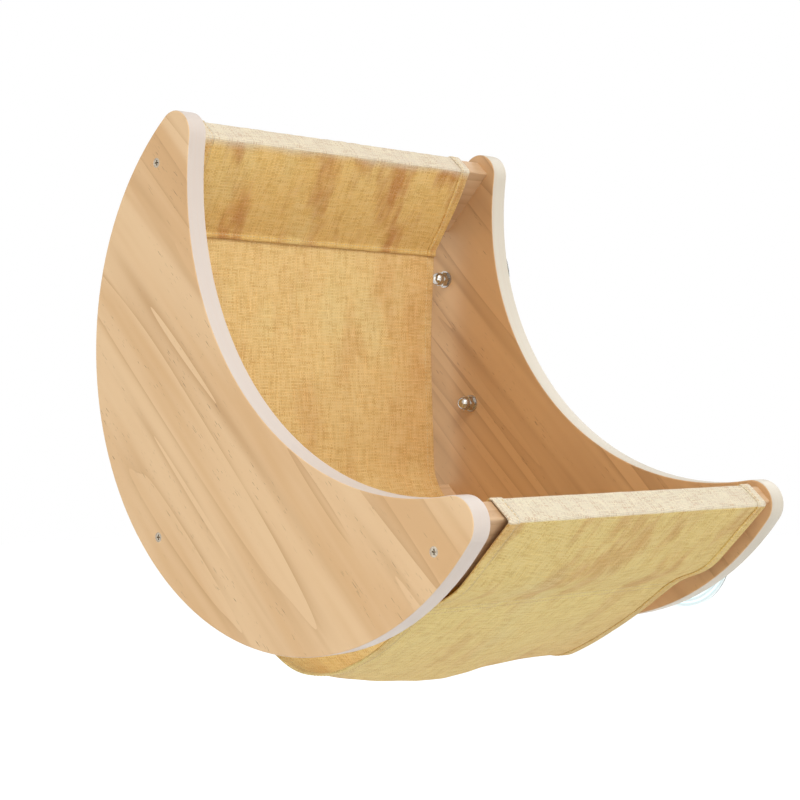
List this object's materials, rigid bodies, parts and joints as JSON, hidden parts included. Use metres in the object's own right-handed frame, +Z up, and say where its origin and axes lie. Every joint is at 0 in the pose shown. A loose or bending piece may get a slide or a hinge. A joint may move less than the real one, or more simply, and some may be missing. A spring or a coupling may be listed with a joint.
{
  "type": "window cat hammock",
  "caption": "Crescent-sided wooden window hammock with a woven cloth sling between rails, hung on suction cups with cap nuts.",
  "frame": {"origin": "on the window pane, at the centre of the crescent panels' outer arc", "axes": "+X towards the low front tip, +Z up, +Y through the pane, away from the room"},
  "size_m": [0.4371, 0.41, 0.4745],
  "materials": {
    "pine_panel": "planed pine, clear matt oil",
    "pine_rail": "planed pine, clear matt oil",
    "beech_dowel": "plain beech",
    "screw_steel": "zinc plated",
    "woven_cloth": "slub linen weave, straw gold",
    "clear_soft_plastic": "clear soft plastic with a faint blue-green tint",
    "stud_steel": "zinc plated",
    "plated_steel": "bright nickel"
  },
  "bodies": {
    "frame": {"room_side_panel": "pine_panel", "window_side_panel": "pine_panel", "top_rail": "pine_rail", "back_rail": "pine_rail", "front_rail": "pine_rail", "top_rail_dowels": "beech_dowel", "back_rail_dowels": "beech_dowel", "front_rail_dowels": "beech_dowel", "room_side_rail_screws": "screw_steel", "window_side_rail_screws": "screw_steel", "sling": "woven_cloth", "cup_1_suction_cup": "clear_soft_plastic", "cup_1_stud": "stud_steel", "cup_2_suction_cup": "clear_soft_plastic", "cup_2_stud": "stud_steel", "cup_3_suction_cup": "clear_soft_plastic", "cup_3_stud": "stud_steel", "cup_4_suction_cup": "clear_soft_plastic", "cup_4_stud": "stud_steel"},
    "washer_1": {"cup_1_washer": "plated_steel"},
    "cap_nut_1": {"cup_1_cap_nut": "plated_steel"},
    "washer_2": {"cup_2_washer": "plated_steel"},
    "cap_nut_2": {"cup_2_cap_nut": "plated_steel"},
    "washer_3": {"cup_3_washer": "plated_steel"},
    "cap_nut_3": {"cup_3_cap_nut": "plated_steel"},
    "washer_4": {"cup_4_washer": "plated_steel"},
    "cap_nut_4": {"cup_4_cap_nut": "plated_steel"}
  },
  "joints": [
    {"name": "cup_1_nut_travel", "type": "slide", "parent": "frame", "child": "washer_1", "axis": [0, -1, 0], "range_m": [0, 0.00875]},
    {"name": "cup_1_nut_turn", "type": "hinge", "parent": "washer_1", "child": "cap_nut_1", "pos_m": [-0.17659, -0.036, 0.07788], "axis": [0, -1, 0], "range_deg": [0, 2520]},
    {"name": "cup_2_nut_travel", "type": "slide", "parent": "frame", "child": "washer_2", "axis": [0, -1, 0], "range_m": [0, 0.00875]},
    {"name": "cup_2_nut_turn", "type": "hinge", "parent": "washer_2", "child": "cap_nut_2", "pos_m": [-0.14345, -0.036, -0.04386], "axis": [0, -1, 0], "range_deg": [0, 2520]},
    {"name": "cup_3_nut_travel", "type": "slide", "parent": "frame", "child": "washer_3", "axis": [0, -1, 0], "range_m": [0, 0.00875]},
    {"name": "cup_3_nut_turn", "type": "hinge", "parent": "washer_3", "child": "cap_nut_3", "pos_m": [-0.04386, -0.036, -0.14345], "axis": [0, -1, 0], "range_deg": [0, 2520]},
    {"name": "cup_4_nut_travel", "type": "slide", "parent": "frame", "child": "washer_4", "axis": [0, -1, 0], "range_m": [0, 0.00875]},
    {"name": "cup_4_nut_turn", "type": "hinge", "parent": "washer_4", "child": "cap_nut_4", "pos_m": [0.07788, -0.036, -0.17659], "axis": [0, -1, 0], "range_deg": [0, 2520]}
  ],
  "couplings": [
    {"joint": "cup_1_nut_travel", "follows": "cup_1_nut_turn", "m_per_rad": 0.00019894},
    {"joint": "cup_2_nut_travel", "follows": "cup_2_nut_turn", "m_per_rad": 0.00019894},
    {"joint": "cup_3_nut_travel", "follows": "cup_3_nut_turn", "m_per_rad": 0.00019894},
    {"joint": "cup_4_nut_travel", "follows": "cup_4_nut_turn", "m_per_rad": 0.00019894}
  ]
}
